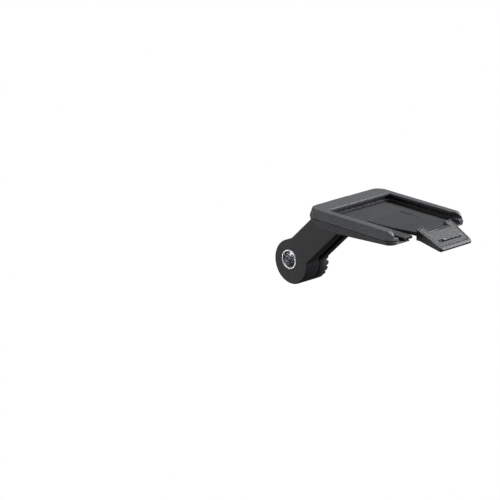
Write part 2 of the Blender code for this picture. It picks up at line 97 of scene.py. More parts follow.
class Slot(Enum):
    """The material slots of the record."""

    SLEEVE = "sleeve_steel"
    ARM = "arm_plastic"
    CHEEK = "cheek_plastic"
    RING = "ring_plastic"
    ZINC = "zinc_plated_steel"
    BRASS = "insert_brass"
    OXIDE = "black_oxide_steel"
    SHELL = "shell_plastic"
    CRADLE = "cradle_textured_plastic"
    FLOOR = "floor_plastic"
    LATCH = "latch_plastic"
    THUMB = "thumb_plate_plastic"
    RIDGE = "ridge_plastic"


# ---------------------------------------------------------------------------------------- shader graph


class Value:
    """A shader socket that takes part in Python arithmetic."""

    def __init__(self, graph: "Graph", socket: bpy.types.NodeSocket) -> None:
        """Wraps a socket of a graph."""
        self.graph = graph
        self.socket = socket

    def _math(self, operation: str, first: Any, second: Any) -> "Value":
        """Adds one Math node."""
        return self.graph.node("ShaderNodeMath", {"operation": operation}, {0: first, 1: second})

    def __add__(self, other: Any) -> "Value":
        """self + other."""
        return self._math("ADD", self, other)

    def __sub__(self, other: Any) -> "Value":
        """self - other."""
        return self._math("SUBTRACT", self, other)

    def __rsub__(self, other: Any) -> "Value":
        """other - self."""
        return self._math("SUBTRACT", other, self)

    def __mul__(self, other: Any) -> "Value":
        """self * other."""
        return self._math("MULTIPLY", self, other)

    __radd__ = __add__
    __rmul__ = __mul__


class Graph:
    """The node tree of a material or of the world."""

    def __init__(self, tree: bpy.types.NodeTree) -> None:
        """Starts from an empty tree."""
        self.tree = tree
        tree.nodes.clear()

    def add(self, kind: str, settings: dict[str, Any], sockets: dict[Any, Any]) -> bpy.types.Node:
        """Adds any node.

        Args:
            kind: the node's type.
            settings: its properties.
            sockets: values or links of its inputs, by name or number.

        Returns:
            The node.
        """
        made = self.tree.nodes.new(kind)
        for name, value in settings.items():
            setattr(made, name, value)
        for name, value in sockets.items():
            if isinstance(value, Value):
                self.tree.links.new(value.socket, made.inputs[name])
            else:
                made.inputs[name].default_value = value
        return made

    def node(self, kind: str, settings: dict[str, Any], sockets: dict[Any, Any], output: Any = 0) -> Value:
        """Adds any node and hands on one of its outputs."""
        return Value(self, self.add(kind, settings, sockets).outputs[output])

    def noise(
        self, place: Value, grain: float, detail: float = 2.0, stretch: Point = (1.0, 1.0, 1.0)
    ) -> Value:
        """Soft noise, 0 to 1.

        Args:
            place: the coordinates.
            grain: size of one spot, in millimetres.
            detail: octaves.
            stretch: factors on the three axes of the coordinates.

        Returns:
            The noise value.
        """
        if stretch != (1.0, 1.0, 1.0):
            place = self.node("ShaderNodeMapping", {}, {"Vector": place, "Scale": stretch})
        sockets = {"Vector": place, "Scale": 1.0 / (grain * MM), "Detail": detail, "Roughness": 0.55}
        return self.node("ShaderNodeTexNoise", {}, sockets)

    def pits(self, place: Value, grain: float) -> Value:
        """Rounded cells for an etched mould surface, 0 at their middles."""
        settings = {"feature": "F1", "distance": "EUCLIDEAN"}
        return self.node("ShaderNodeTexVoronoi", settings, {"Vector": place, "Scale": 1.0 / (grain * MM)})

    def ramp(self, value: Value, low: float, high: float) -> Value:
        """Maps low..high to 0..1, smoothly."""
        settings = {"interpolation_type": "SMOOTHSTEP"}
        return self.node("ShaderNodeMapRange", settings, {"Value": value, "From Min": low, "From Max": high})

    def tint(self, factor: Any, first: Any, second: Any) -> Value:
        """Mixes two colours. A Mix node's colour sockets are told apart by number only."""
        sockets = {0: factor, 6: first, 7: second}
        return self.node("ShaderNodeMix", {"data_type": "RGBA"}, sockets, 2)

    def eased(self, radius: float) -> Value:
        """The normal of the surface with its edges rounded to a radius in millimetres."""
        return self.node("ShaderNodeBevel", {"samples": 8}, {"Radius": radius * MM})

    def edges(self, eased: Value) -> Value:
        """Where the edges of a surface are rounded.

        Args:
            eased: its rounded normal.

        Returns:
            1 on a rounded edge, 0 elsewhere.
        """
        plain = self.node("ShaderNodeNewGeometry", {}, {}, "Normal")
        same = self.node("ShaderNodeVectorMath", {"operation": "DOT_PRODUCT"}, {0: eased, 1: plain}, "Value")
        return self.ramp(1.0 - same, low=0.01, high=0.15)

    def painted_shade_mask(self, reach: float) -> Value:
        """Tells recesses from open surface, for painted shade: ambient occlusion that darkens the colour
        where shade falls.

        Args:
            reach: how far it looks round itself, in millimetres.

        Returns:
            1 on open surface, 0 in a recess.
        """
        sockets = {"Distance": reach * MM}
        opened = self.node("ShaderNodeAmbientOcclusion", {"samples": 8}, sockets, "AO")
        return self.ramp(opened, low=0.35, high=0.9)

    def relief(self, height: Value, depth: float, under: Value, strength: float = 1.0) -> Value:
        """A bump from a height map, with its depth in millimetres, on a normal."""
        sockets = {"Height": height, "Distance": depth * MM, "Strength": strength, "Normal": under}
        return self.node("ShaderNodeBump", {}, sockets)


def rgba(colour: Colour, factor: float = 1.0) -> tuple[float, float, float, float]:
    """A colour times a factor, with full alpha."""
    return (colour[0] * factor, colour[1] * factor, colour[2] * factor, 1.0)


@dataclass(frozen=True)
class Finish:
    """A finish that a piece is dressed in."""

    slot: Slot
    colour: Colour
    roughness: float

    def paint(self, graph: Graph, place: Value) -> dict[str, Any]:
        """The sockets of the surface shader that vary."""
        raise NotImplementedError

    def constants(self) -> dict[str, Any]:
        """The sockets of the surface shader that are the same all over."""
        return {}

    def material(self) -> bpy.types.Material:
        """Makes the material.

        Returns:
            A new node material, named after the slot.
        """
        made = bpy.data.materials.new(self.slot.value)
        made.use_nodes = True
        made.diffuse_color = rgba(self.colour)
        graph = Graph(made.node_tree)
        place = graph.node("ShaderNodeTexCoord", {}, {}, "Object")
        sockets = {**self.constants(), **self.paint(graph, place)}
        surface = graph.node("ShaderNodeBsdfPrincipled", {}, sockets)
        graph.add("ShaderNodeOutputMaterial", {}, {"Surface": surface})
        return made


@dataclass(frozen=True)
class MouldedPlastic(Finish):
    """Glass-filled nylon from a spark-eroded mould: fine grain, slow mottling, paler rubbed edges, and
    painted shade darkening its recesses.
    """

    grain: float = 0.26
    depth: float = 0.012
    specular: float = 0.5
    mottle: float = 7.0
    swirl: float = 1.6
    swirl_depth: float = 0.010
    edge_radius: float = 0.16
    edge_lift: float = 0.5
    # Painted shade: how far the ambient occlusion that darkens recesses looks round, in millimetres.
    painted_shade_reach: float = 4.0
    dark: float = 0.82
    light: float = 1.2
    fleck: float = 2.3
    rub: float = 3.2
    # Painted shade: share of the colour that is left in recesses, where shade falls.
    painted_shade: float = 0.22
    speck_rough: float = 0.14
    drift_rough: float = 0.10
    worn_smooth: float = 0.08

    def constants(self) -> dict[str, Any]:
        """Dielectric shell of the plastic."""
        return {"Metallic": 0.0, "Specular IOR Level": self.specular}

    def paint(self, graph: Graph, place: Value) -> dict[str, Any]:
        """Lays on the grain, and painted shade in the recesses.

        Args:
            graph: the material's node tree.
            place: object coordinates.

        Returns:
            Colour, roughness and normal.
        """
        drift = graph.noise(place, self.mottle, 3.0)
        speck = graph.noise(place, self.grain, 2.0)
        pits = graph.pits(place, self.grain * 1.5)
        swirl = graph.noise(place, self.swirl, 4.0, stretch=(1.0, 3.0, 1.0))
        eased = graph.eased(self.edge_radius)
        worn = graph.edges(eased) * graph.ramp(swirl, low=0.35, high=0.75)
        base = graph.tint(drift, rgba(self.colour, self.dark), rgba(self.colour, self.light))
        flecks = graph.ramp(speck, low=0.42, high=0.72) * 0.8
        flecked = graph.tint(flecks, base, rgba(self.colour, self.fleck))
        rubbed = graph.tint(worn * self.edge_lift, flecked, rgba(self.colour, self.rub))
        # Painted shade: where ambient occlusion finds a recess, the colour darkens to a small share of
        # itself.
        colour = graph.tint(graph.painted_shade_mask(self.painted_shade_reach), rgba(self.colour, self.painted_shade), rubbed)
        grainy = self.roughness + (speck - 0.5) * self.speck_rough
        rough = grainy + (drift - 0.5) * self.drift_rough - worn * self.worn_smooth
        under = graph.relief(swirl, self.swirl_depth, eased, strength=0.35)
        normal = graph.relief(speck + pits * 0.8, self.depth, under)
        return {"Base Color": colour, "Roughness": rough, "Normal": normal}


@dataclass(frozen=True)
class TurnedMetal(Finish):
    """Plated or plain metal with fine tool marks, handling scratches and dull patches."""

    mark_stretch: Point = (1.0, 1.0, 1.0)
    mark: float = 0.12
    patch: float = 2.5
    scratch: float = 0.5
    depth: float = 0.004
    edge_radius: float = 0.06
    tarnish: float = 0.68
    bright: float = 1.25
    mark_rough: float = 0.16
    dull_rough: float = 0.14
    scratch_rough: float = 0.12

    def constants(self) -> dict[str, Any]:
        """Bare metal."""
        return {"Metallic": 1.0}

    def paint(self, graph: Graph, place: Value) -> dict[str, Any]:
        """Lays on the tool marks.

        Args:
            graph: the material's node tree.
            place: object coordinates.

        Returns:
            Colour, roughness and normal.
        """
        drift = graph.noise(place, self.patch, 3.0)
        marks = graph.noise(place, self.mark, 3.0, self.mark_stretch)
        lines = graph.noise(place, self.scratch, 5.0, stretch=(0.3, 4.0, 1.0))
        scratches = graph.ramp(lines, low=0.58, high=0.72)
        dull = graph.ramp(drift, low=0.4, high=0.75)
        base = graph.tint(dull * 0.7, rgba(self.colour), rgba(self.colour, self.tarnish))
        eased = graph.eased(self.edge_radius)
        colour = graph.tint(graph.edges(eased) * 0.5, base, rgba(self.colour, self.bright))
        marked = self.roughness + (marks - 0.5) * self.mark_rough
        rough = marked + dull * self.dull_rough + scratches * self.scratch_rough
        normal = graph.relief(marks + scratches * 0.4, self.depth, eased)
        return {"Base Color": colour, "Roughness": rough, "Normal": normal}


# ---------------------------------------------------------------------------------------------- forms


def turned_by(axis: str, degrees: float) -> Matrix:
    """A turn about one axis."""
    return Matrix.Rotation(math.radians(degrees), 4, axis)


def moved_by(place: Point) -> Matrix:
    """A move."""
    return Matrix.Translation(place)


def across(place: Point) -> Matrix:
    """Lays a form that stands on z across the arm, in the frame of the arm."""
    return moved_by(place) @ turned_by("X", -90.0)


def lengthwise(place: Point) -> Matrix:
    """Lays a form that stands on z along the arm, in the frame of the arm."""
    return moved_by(place) @ turned_by("Y", 90.0)


# In the frame of the arm x runs up the arm and z is square to it. The dock's origin is on the rim's top.
ARM_FRAME = turned_by("Y", -ARM_RISE)
DOCK = moved_by(DOCK_PLACE)


def reach_of(before: Vector, after: Vector, radius: float) -> float:
    """How far a rounding of a radius runs along both sides of a corner."""
    return radius / math.tan(before.angle(after) / 2)


def far_side(grown: dict[str, Any]) -> list[bmesh.types.BMVert]:
    """The new points of an extrusion."""
    return [item for item in grown["geom"] if isinstance(item, bmesh.types.BMVert)]


def prism(corners: Sequence[Corner], axis: Axis, near: float, far: float, steps: int = 8) -> Form:
    """Extrudes an outline and rounds its corners with bevels.

    Args:
        corners: first and second coordinate and radius of each corner, x with y or x with z.
        axis: the direction of the extrusion.
        near: where it starts on that axis.
        far: where it ends.
        steps: facets of a rounded corner.

    Returns:
        A closed form.
    """
    made = bmesh.new()
    up = axis is Axis.UP
    start = [made.verts.new((a, b, near) if up else (a, near, b)) for a, b, _ in corners]
    moved = far_side(bmesh.ops.extrude_face_region(made, geom=[made.faces.new(start)]))
    bmesh.ops.translate(made, verts=moved, vec=(0.0, 0.0, far - near) if up else (0.0, far - near, 0.0))
    first = set(start)
    sides = [next(edge for edge in vert.link_edges if edge.other_vert(vert) not in first) for vert in start]
    count = len(corners)
    for index, (_, _, radius) in enumerate(corners):
        if radius <= 0.0:
            continue
        here, last, after = (Vector(corners[i % count][:2]) for i in (index, index - 1, index + 1))
        reach = reach_of(last - here, after - here, radius)
        bevel(made, [sides[index]], reach, steps)
    return made


def bevel(form: Form, edges: list[bmesh.types.BMEdge], reach: float, steps: int) -> None:
    """Rounds some edges of a form, with a number of facets, as far as a reach from each edge."""
    bmesh.ops.bevel(
        form, geom=edges, offset=reach, offset_type="OFFSET", segments=steps, profile=0.5,
        affect="EDGES", clamp_overlap=False, material=-1,
    )


def eased(form: Form, width: float, steps: int = 3, angle: float = 30.0, ceiling: float = math.inf) -> Form:
    """Rounds every edge of a simple form that is sharper than an angle.

    Args:
        form: a closed convex form.
        width: how far the rounding runs in from an edge.
        steps: its facets.
        angle: the least angle, in degrees.
        ceiling: height from which edges stay sharp.

    Returns:
        The same form.
    """
    bmesh.ops.recalc_face_normals(form, faces=form.faces)
    least = math.radians(angle)
    sharp = [
        edge for edge in form.edges
        if edge.is_manifold and edge.calc_face_angle() > least and min(v.co.z for v in edge.verts) < ceiling
    ]
    bevel(form, sharp, width, steps)
    return form


def block(low: Point, high: Point) -> Form:
    """Makes a box.

    Args:
        low: its lowest corner.
        high: its highest corner.

    Returns:
        A closed form.
    """
    made = bmesh.new()
    bmesh.ops.create_cube(made, size=1.0)
    bmesh.ops.scale(made, verts=made.verts, vec=[b - a for a, b in zip(low, high)])
    bmesh.ops.translate(made, verts=made.verts, vec=[(a + b) / 2 for a, b in zip(low, high)])
    return made


def rod(radius: float, near: float, far: float, steps: int = 96) -> Form:
    """Makes a cylinder along z.

    Args:
        radius: its radius.
        near: height of its lower end.
        far: height of its upper end.
        steps: its facets.

    Returns:
        A closed form.
    """
    made = bmesh.new()
    bmesh.ops.create_cone(
        made, cap_ends=True, segments=steps, radius1=radius, radius2=radius, depth=far - near
    )
    bmesh.ops.translate(made, verts=made.verts, vec=(0.0, 0.0, (near + far) / 2))
    return made


def turned(profile: Sequence[tuple[float, float]], steps: int = 48, closed: bool = False) -> Form:
    """Spins a profile about z.

    Args:
        profile: radius and height of each point.
        steps: facets of the turn.
        closed: whether the profile returns to its start, as for a tube.

    Returns:
        A closed form.
    """
    made = bmesh.new()
    points = [made.verts.new((radius, 0.0, height)) for radius, height in profile]
    ends = points + points[:1] if closed else points
    edges = [made.edges.new(pair) for pair in zip(ends, ends[1:])]
    bmesh.ops.spin(
        made, geom=points + edges, cent=(0.0, 0.0, 0.0), axis=(0.0, 0.0, 1.0),
        angle=2 * math.pi, steps=steps, use_merge=True,
    )
    bmesh.ops.remove_doubles(made, verts=made.verts, dist=1e-5)
    return made


def lean(form: Form, height: float, factor: float) -> None:
    """Widens or narrows, across y, the points of a form that lie at a height."""
    level = [vert for vert in form.verts if abs(vert.co.z - height) < 1e-4]
    bmesh.ops.scale(form, verts=level, vec=(1.0, factor, 1.0))


def score(form: Form, point: Point, normal: Point, clear: bool = False) -> None:
    """Parts the faces of a form along a plane, and clears what lies beyond it if told to."""
    whole = [*form.verts, *form.edges, *form.faces]
    bmesh.ops.bisect_plane(form, geom=whole, plane_co=point, plane_no=normal, clear_outer=clear)


def slice_off(form: Form, point: Point, normal: Point) -> None:
    """Cuts away what lies beyond a plane and closes the cut."""
    score(form, point, normal, clear=True)
    bmesh.ops.holes_fill(form, edges=[edge for edge in form.edges if edge.is_boundary], sides=0)


class Blank:
    """A form in the making, with the cuts and joins that are still to be made on it."""

    def __init__(self, form: Form, place: Matrix | None = None) -> None:
        """Starts from a form at a place."""
        self.helpers: list[bpy.types.Object] = []
        self.stock = self._object(form, place)

    def _object(self, form: Form, place: Matrix | None) -> bpy.types.Object:
        """Turns a form into a passing object.

        Args:
            form: the form, which this uses up.
            place: where it goes.

        Returns:
            The object.
        """
        bmesh.ops.recalc_face_normals(form, faces=form.faces)
        for face in form.faces:
            face.smooth = True
        mesh = bpy.data.meshes.new("blank")
        form.to_mesh(mesh)
        form.free()
        if place is not None:
            mesh.transform(place)
        made = bpy.data.objects.new("blank", mesh)
        bpy.context.scene.collection.objects.link(made)
        return made

    def work(self, step: Step, form: Form, place: Matrix | None = None) -> "Blank":
        """Works on the blank with a second form.

        Args:
            step: whether it cuts, joins or keeps what that form covers.
            form: the second form.
            place: where that form goes.

        Returns:
            The blank.
        """
        helper = self._object(form, place)
        self.helpers.append(helper)
        made = self.stock.modifiers.new("work", "BOOLEAN")
        made.operation = step.value
        made.solver = "EXACT"
        made.object = helper
        return self

    def cut(self, form: Form, place: Matrix | None = None) -> "Blank":
        """Removes a form."""
        return self.work(Step.CUT, form, place)

    def join(self, form: Form, place: Matrix | None = None) -> "Blank":
        """Adds a form."""
        return self.work(Step.JOIN, form, place)

    def applied(self) -> bpy.types.Mesh:
        """Makes the steps so far.

        Returns:
            A new mesh.
        """
        bpy.context.view_layer.update()
        graph = bpy.context.evaluated_depsgraph_get()
        return bpy.data.meshes.new_from_object(
            self.stock.evaluated_get(graph), preserve_all_data_layers=True, depsgraph=graph
        )

    def machined(self, sharp: float = 32.0) -> bpy.types.Mesh:
        """Makes the mesh and clears the helpers.

        Args:
            sharp: the angle up to which it is smooth.

        Returns:
            The mesh, still in millimetres.
        """
        rough = self.stock.data
        self.stock.data = self.applied()
        self.stock.modifiers.clear()
        bpy.data.meshes.remove(rough)
        self.stock.data.set_sharp_from_angle(angle=math.radians(sharp))
        level = self.stock.modifiers.new("level", "WEIGHTED_NORMAL")
        level.keep_sharp = True
        level.weight = 80
        mesh = self.applied()
        for spent in (self.stock, *self.helpers):
            data = spent.data
            bpy.data.objects.remove(spent)
            bpy.data.meshes.remove(data)
        return mesh

    def form(self) -> Form:
        """Makes the mesh, to be worked on further.

        Returns:
            The mesh as a form.
        """
        mesh = self.machined()
        made = bmesh.new()
        made.from_mesh(mesh)
        bpy.data.meshes.remove(mesh)
        return made


@dataclass(frozen=True)
class Palette:
    """The materials of the dock, by slot."""

    materials: dict[Slot, bpy.types.Material]

    def dress(self, piece: bpy.types.Object, slot: Slot) -> None:
        """Gives a piece the material of a slot."""
        piece.data.materials.clear()
        piece.data.materials.append(self.materials[slot])


@dataclass(frozen=True)
class Assembly:
    """A sub-assembly that delivers its pieces."""

    palette: Palette

    def deliver(
        self, name: str, blank: Blank, slot: Slot, nodes: Sequence[str], body: Body | None, place: Matrix
    ) -> bpy.types.Object:
        """Finishes a piece: makes its mesh, dresses it and lets it ride on its body.

        Args:
            name: the piece.
            blank: the form, with its cuts still to be made.
            slot: the material slot.
            nodes: the CAD nodes that the piece stands for.
            body: the body that it rides on, or None where it rides on none.
            place: where the finished form goes.

        Returns:
            The piece.
        """
        mesh = blank.machined()
        mesh.transform(Matrix.Scale(MM, 4) @ place)
        mesh.name = name
        piece = bpy.data.objects.new(name, mesh)
        bpy.context.scene.collection.objects.link(piece)
        self.palette.dress(piece, slot)
        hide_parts(*nodes)
        if body is not None:
            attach(piece, body.value)
        LOG.info("%s: %d faces, finish %s", name, len(mesh.polygons), slot.value)
        return piece


# --------------------------------------------------------------------------------------------- pieces


@dataclass(frozen=True)
class ScrewSize:
    """Radii of shank, head and hexagon of a button-head screw along z, heights, and depth of its socket."""

    shank: float
    tip: float
    seat: float
    head: float
    crown: float
    key: float
    socket: float


@dataclass(frozen=True)
class Fasteners(Assembly):
    """Screws and threaded inserts."""

    thread_pitch: float = 0.5
    thread_depth: float = 0.12
    thread_start: float = 0.25
    neck: float = 0.1
    point: float = 0.6
    rim: float = 0.97
    brim: float = 0.25
    crown_angles: tuple[float, ...] = (0, 18, 36, 54, 70, 82)
    knurls: int = 28
    knurl: float = 0.93
    groove_floor: float = 0.84
    groove_width: float = 0.4

    def threaded(self, radius: float, low: float, high: float) -> list[tuple[float, float]]:
        """Makes the profile of a threaded shank.

        Args:
            radius: outer radius of the thread.
            low: height of its start.
            high: height of its end.

        Returns:
            Radius and height of each point.
        """
        points = []
        height = low
        while height + self.thread_pitch < high:
            points.append((radius - self.thread_depth, height))
            points.append((radius, height + self.thread_pitch / 2))
            height += self.thread_pitch
        return [*points, (radius - self.thread_depth, high)]

    def screw(self, size: ScrewSize) -> Blank:
        """Makes a button-head screw along z with a hexagon socket.

        Args:
            size: its sizes.

        Returns:
            The screw.
        """
        shank, seat, head = size.shank, size.seat, size.head
        thick = size.crown - seat
        dome = [
            (head * math.cos(angle), seat + thick * (self.brim + (1.0 - self.brim) * math.sin(angle)))
            for angle in map(math.radians, self.crown_angles)
        ]
        thread = self.threaded(shank, size.tip + self.thread_start, seat - self.neck)
        profile = [(0.0, size.tip), (shank * self.point, size.tip), *thread, (shank, seat)]
        profile += [(head * self.rim, seat), *dome, (0.0, size.crown)]
        return Blank(turned(profile, 40)).cut(rod(size.key, size.crown - size.socket, size.crown + ABOVE, 6))

    def insert(self, inner: float, outer: float, near: float, far: float) -> Blank:
        """Makes a knurled insert along z with two grooves round it.

        Args:
            inner: radius of its thread.
            outer: radius over its knurls.
            near: height of its lower end.
            far: height of its upper end.

        Returns:
            The insert.
        """
        barrel = rod(outer, near, far, self.knurls * 2)
        for vert in barrel.verts:
            turn = round((math.atan2(vert.co.y, vert.co.x) % (2 * math.pi)) / math.pi * self.knurls)
            if turn % 2:
                vert.co.xy *= self.knurl
        blank = Blank(barrel).cut(rod(inner, near - ABOVE, far + ABOVE, 40))
        low, high, half = outer * self.groove_floor, outer + ABOVE, self.groove_width / 2
        for share in (1, 2):
            middle = near + share * (far - near) / 3
            start, end = middle - half, middle + half
            groove = [(low, start), (high, start), (high, end), (low, end)]
            blank.cut(turned(groove, 40, closed=True))
        return blank


@dataclass(frozen=True)
class Pivot(Assembly):
    """Steel sleeve through the barrel of the arm, which the lugs of the stem clamp."""

    outer: float = 3.3
    inner: float = 2.6
    near: float = -4.65
    far: float = 5.55
    lead: float = 0.22

    def build(self) -> None:
        """Builds the sleeve."""
        low, high, lead = self.near, self.far, self.lead
        profile = [
            (self.inner + lead, low), (self.outer - lead, low), (self.outer, low + lead),
            (self.outer, high - lead), (self.outer - lead, high), (self.inner + lead, high),
            (self.inner, high - lead), (self.inner, low + lead),
        ]
        blank = Blank(turned(profile, 96, closed=True))
        self.deliver("steel_sleeve", blank, Slot.SLEEVE, ["pivot_sleeve"], Body.PIVOT, turned_by("X", -90.0))


@dataclass(frozen=True)
class Arm(Assembly):
    """Toothed pivot arm in two halves. x runs up the arm, z square to it, y across."""

    top: float = 4.75
    under: float = -5.25
    half: float = 4.45
    end: float = 29.4
    ease: float = 0.5
    ceiling: float = 23.3
    head_start: float = 24.4
    barrel: float = 7.3
    drop: float = -1.0
    bore: float = 3.4
    body_far: float = 1.42
    cheek_near: float = 1.58
    cheek_end: float = 24.1
    cheek_barrel_far: float = 3.15
    cheek_ease: float = 0.4
    channel: tuple[float, float] = (-1.15, 1.65)
    channel_start: float = 3.0
    channel_top: float = -2.75
    channel_corner: float = 0.9
    webs: tuple[float, ...] = (11.5, 17.5, 23.5)
    web_thick: float = 0.7
    web_low: float = -3.9
    web_high: float = -2.4
    web_bite: float = 0.3
    ring_near: float = 3.2
    ring_far: float = 5.35
    ring_play: float = 0.3
    teeth: int = 24
    tooth_root: float = 4.3
    tooth_crest: float = 5.43
    tooth_ends: tuple[float, float] = (2.2, 9.5)
    tooth_flank: float = 1.08
    cheek_screws: tuple[float, float] = (11.5, 19.5)
    cheek_screw_height: float = 1.2
    cheek_screw: ScrewSize = ScrewSize(
        shank=0.8, tip=-2.4, seat=3.3, head=1.5, crown=4.2, key=0.78, socket=0.55
    )
    thread_hole: float = 0.95
    thread_floor: float = -2.7
    sink: float = 1.7
    sink_floor: float = 3.15
    dock_screw_side: float = 2.6
    dock_screw_height: float = -1.2
    dock_screw: ScrewSize = ScrewSize(
        shank=0.75, tip=25.6, seat=31.5, head=1.4, crown=32.4, key=0.75, socket=0.5
    )
    insert: tuple[float, float, float, float] = (0.95, 1.3, 25.2, 29.0)
    insert_hole: float = 1.42
    insert_floor: float = 24.9

    def drum(self, near: float, far: float, ease: float = 0.0, grow: float = 0.0) -> tuple[Form, Matrix]:
        """The barrel between two values of y, with the matrix that lays it across the arm."""
        form = rod(self.barrel + grow, near, far, 144)
        return eased(form, ease, 4) if ease else form, across((0.0, 0.0, self.drop))

    def bar(self, end: float, near: float, far: float, ease: float) -> Form:
        """The bar of the arm from the middle of the barrel to its end."""
        return eased(block((0.0, near, self.under), (end, far, self.top)), ease, 4)

    def bolt_hole(self) -> tuple[Form, Matrix]:
        """The bore of the barrel, with the matrix that lays it across the arm."""
        return rod(self.bore, -PAST, PAST), across((0.0, 0.0, 0.0))

    def cheek_hole(self, along: float, radius: float, near: float, steps: int) -> tuple[Form, Matrix]:
        """A hole for a cheek screw, with the matrix that lays it across the arm."""
        return rod(radius, near, PAST, steps), across((along, 0.0, self.cheek_screw_height))

    def dock_hole(self, side: int, radius: float, near: float, steps: int) -> tuple[Form, Matrix]:
        """A hole for a dock screw, with the matrix that lays it along the arm."""
        return rod(radius, near, PAST, steps), self.dock_screw_place(side)

    def dock_screw_place(self, side: int) -> Matrix:
        """Lays a dock screw along the arm on one side."""
        return lengthwise((0.0, side * self.dock_screw_side, self.dock_screw_height))

    def build(self) -> None:
        """Builds both halves, the toothed ring and the fasteners."""
        self.build_body()
        self.build_cheek()
        self.build_ring()
        self.build_fasteners()

    def build_body(self) -> None:
        """Near half: barrel, bar, head and the lengthwise channel with its webs."""
        blank = Blank(self.bar(self.end, -self.half, self.body_far, self.ease))
        head = block((self.head_start, -self.half, self.under), (self.end, self.half, self.top))
        blank.join(eased(head, self.ease, 4))
        blank.cut(block((-PAST, -PAST, self.ceiling), (PAST, PAST, PAST)), ARM_FRAME.inverted())
        near, far = self.channel
        start, top = self.channel_start, self.channel_top
        trough = [
            (start, -PAST, 0.0), (start, top, self.channel_corner), (PAST, top, 0.0), (PAST, -PAST, 0.0),
        ]
        blank.cut(prism(trough, Axis.ACROSS, near, far))
        for along in self.webs:
            low = (along, near - self.web_bite, self.web_low)
            blank.join(block(low, (along + self.web_thick, self.body_far - HAIR, self.web_high)))
        blank.join(*self.drum(-self.half, self.body_far, self.ease))
        blank.cut(*self.bolt_hole())
        for _, side in SIDES:
            blank.cut(*self.dock_hole(side, self.insert_hole, self.insert_floor, 48))
        for along in self.cheek_screws:
            blank.cut(*self.cheek_hole(along, self.thread_hole, self.thread_floor, 32))
        self.deliver("arm_near_half", blank, Slot.ARM, ["arm_body"], Body.ARM, ARM_FRAME)

    def build_cheek(self) -> None:
        """Far half, screwed to the near half, recessed for the toothed ring."""
        blank = Blank(self.bar(self.cheek_end, self.cheek_near, self.half, self.cheek_ease))
        blank.join(*self.drum(self.cheek_near, self.half))
        blank.cut(*self.drum(self.cheek_barrel_far, PAST, grow=self.ring_play))
        blank.cut(*self.bolt_hole())
        for along in self.cheek_screws:
            blank.cut(*self.cheek_hole(along, self.thread_hole, -PAST, 32))
            blank.cut(*self.cheek_hole(along, self.sink, self.sink_floor, 40))
        self.deliver("arm_far_half", blank, Slot.CHEEK, ["arm_cheek"], Body.ARM, ARM_FRAME)

    def build_ring(self) -> None:
        """Ring with radial face teeth that lock the angle of the arm."""
        blank = Blank(*self.drum(self.ring_near, self.ring_far))
        blank.cut(*self.bolt_hole())
        for index in range(self.teeth):
            blank.cut(self.groove(), turned_by("Y", 360.0 / self.teeth * index))
        self.deliver("face_tooth_ring", blank, Slot.RING, ["tooth_ring"], Body.ARM, ARM_FRAME)

    def groove(self) -> Form:
        """Makes one flared groove between two teeth, along x.

        Returns:
            A closed form.
        """
        near, far = self.tooth_ends
        half = near * math.tan(math.radians(90.0 / self.teeth)) * self.tooth_flank
        made = bmesh.new()
        ends = [(near, self.tooth_crest, -half), (near, self.tooth_crest, half), (near, self.tooth_root, 0.0)]
        face = made.faces.new([made.verts.new(point) for point in ends])
        moved = far_side(bmesh.ops.extrude_face_region(made, geom=[face]))
        bmesh.ops.translate(made, verts=moved, vec=(far - near, 0.0, 0.0))
        bmesh.ops.scale(made, verts=moved, vec=(1.0, 1.0, far / near))
        return made

    def build_fasteners(self) -> None:
        """Screws of the cheek, and the screws and inserts under the cradle."""
        kit = Fasteners(self.palette)
        for label, along in zip(("low", "high"), self.cheek_screws):
            name = f"cheek_screw_{label}"
            place = ARM_FRAME @ across((along, 0.0, self.cheek_screw_height))
            self.deliver(name + "_zinc", kit.screw(self.cheek_screw), Slot.ZINC, [name], Body.ARM, place)
        for label, side in SIDES:
            place = ARM_FRAME @ self.dock_screw_place(side)
            insert = kit.insert(*self.insert)
            node = f"dock_insert_{label}"
            self.deliver(f"knurled_insert_{label}", insert, Slot.BRASS, [node], Body.ARM, place)
            name = f"dock_screw_{label}"
            self.deliver(name + "_zinc", kit.screw(self.dock_screw), Slot.ZINC, [name], Body.ARM, place)


